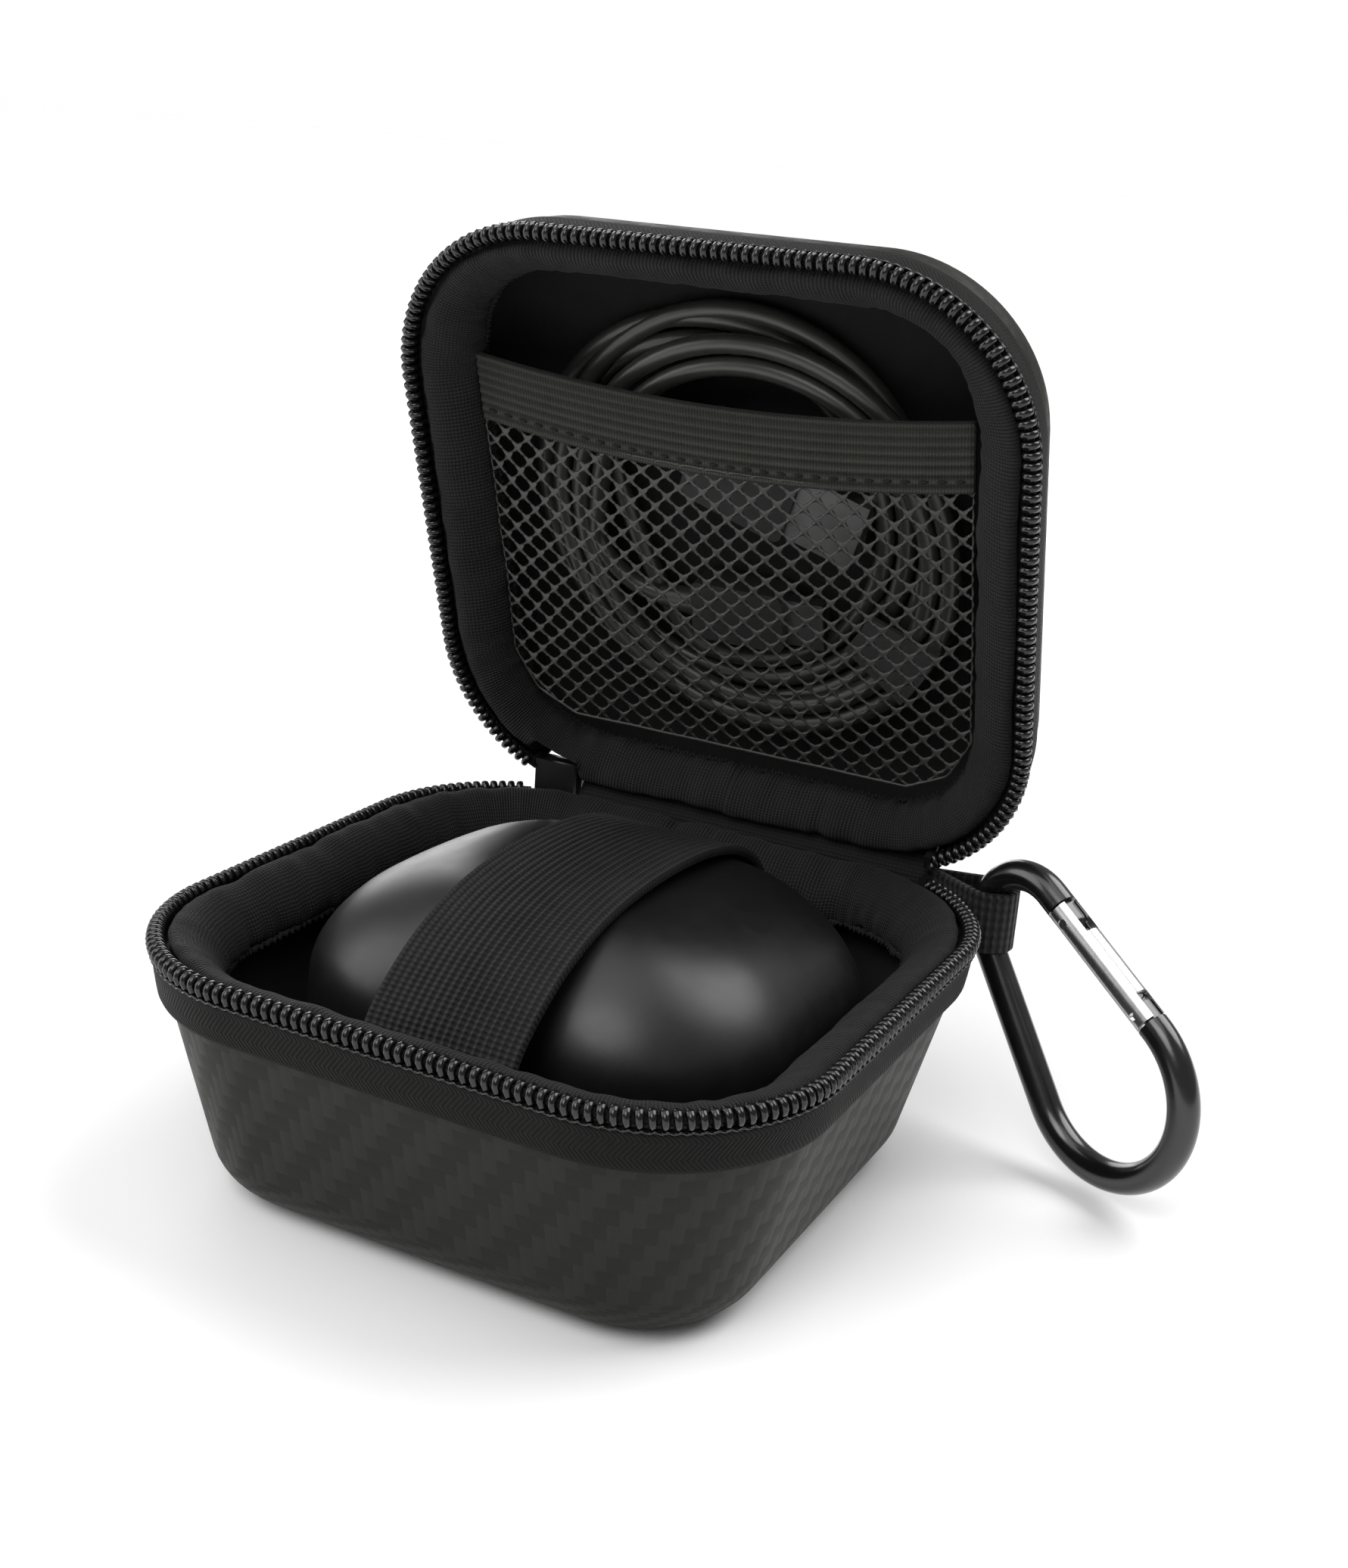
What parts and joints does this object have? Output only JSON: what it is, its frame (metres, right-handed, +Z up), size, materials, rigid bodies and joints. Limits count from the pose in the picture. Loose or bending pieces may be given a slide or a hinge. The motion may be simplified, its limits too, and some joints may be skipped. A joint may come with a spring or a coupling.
{
  "type": "cable organizer pouch",
  "caption": "Small moulded travel case with a zip round its edge, cloth hinge, elastic strap over a stored gadget, net lid pocket holding a coiled cable, and a sprung-gate carabiner.",
  "frame": {"origin": "on the surface the case stands on, under the middle of the base's zip line", "axes": "+X to the case's right seen from its front, +Y from the front towards the hinge at the back, +Z up from the floor through the open base; the lid is at its rest pose, open"},
  "size_m": [0.1441, 0.1196, 0.1401],
  "materials": {
    "shell_skin": "satin, carbon-look twill embossed",
    "lining": "short black nap",
    "zip_teeth": "glossy black nylon coil",
    "zip_tape": "black herringbone tape",
    "binding": "black ribbed binding",
    "hinge_cloth": "black woven cloth",
    "zip_metal": "black enamel",
    "device_body": "soft matte black",
    "strap_elastic": "dark grey ribbed knit",
    "webbing": "black basket weave",
    "net": "dark grey knotted mesh",
    "band_elastic": "grey ribbed elastic",
    "cable_sheath": "satin dark grey",
    "tie_fabric": "hook-and-loop tape",
    "plug_body": "satin black",
    "plug_shell": "bright plated",
    "rod_black": "gloss black anodised",
    "gate_metal": "bright polished",
    "spring_wire": "drawn wire"
  },
  "bodies": {
    "base": {"base_shell": "shell_skin", "base_lining": "lining", "base_teeth": "zip_teeth", "base_tape": "zip_tape", "base_binding": "binding", "hinge_cloth_base": "hinge_cloth", "base_end_stop": "zip_metal", "stored_device": "device_body", "elastic_strap": "strap_elastic", "webbing_loop": "webbing", "slider_body": "zip_metal", "slider_bridge": "zip_metal"},
    "lid": {"lid_shell": "shell_skin", "lid_lining": "lining", "lid_teeth": "zip_teeth", "lid_tape": "zip_tape", "lid_binding": "binding", "hinge_cloth_lid": "hinge_cloth", "lid_end_stop": "zip_metal", "pocket_net": "net", "pocket_band": "band_elastic", "cable_coil": "cable_sheath", "cable_tie": "tie_fabric", "usb_plug_body": "plug_body", "usb_plug_shell": "plug_shell", "usb_plug_relief": "cable_sheath", "device_plug_body": "plug_body", "device_plug_shell": "plug_shell", "device_plug_relief": "cable_sheath"},
    "pull": {"pull_tab": "zip_metal"},
    "carabiner": {"carabiner_frame": "rod_black"},
    "gate": {"gate_tube": "gate_metal", "gate_rivet": "gate_metal", "gate_latch_pin": "gate_metal", "gate_plunger": "gate_metal", "gate_spring": "spring_wire"}
  },
  "joints": [
    {"name": "lid_hinge", "type": "hinge", "parent": "base", "child": "lid", "pos_m": [0, 0.04915, 0.04205], "axis": [-1, 0, 0], "range_deg": [-72.75, 27.25], "deforming": ["pocket_net", "pocket_band"]},
    {"name": "pull_swing", "type": "hinge", "parent": "base", "child": "pull", "pos_m": [-0.034, 0.05495, 0.04165], "axis": [1, 0, 0], "range_deg": [0, 25]},
    {"name": "carabiner_swing", "type": "hinge", "parent": "base", "child": "carabiner", "pos_m": [0.04769, 0.04986, 0.0368], "axis": [0, 0, 1], "range_deg": [-20, 18]},
    {"name": "gate_pivot", "type": "hinge", "parent": "carabiner", "child": "gate", "pos_m": [0.06419, 0.04181, 0.04189], "axis": [0.4384, 0.8988, 0], "range_deg": [0, 24], "stiffness_Nm_per_rad": 0.02, "springref_deg": -11.46}
  ]
}
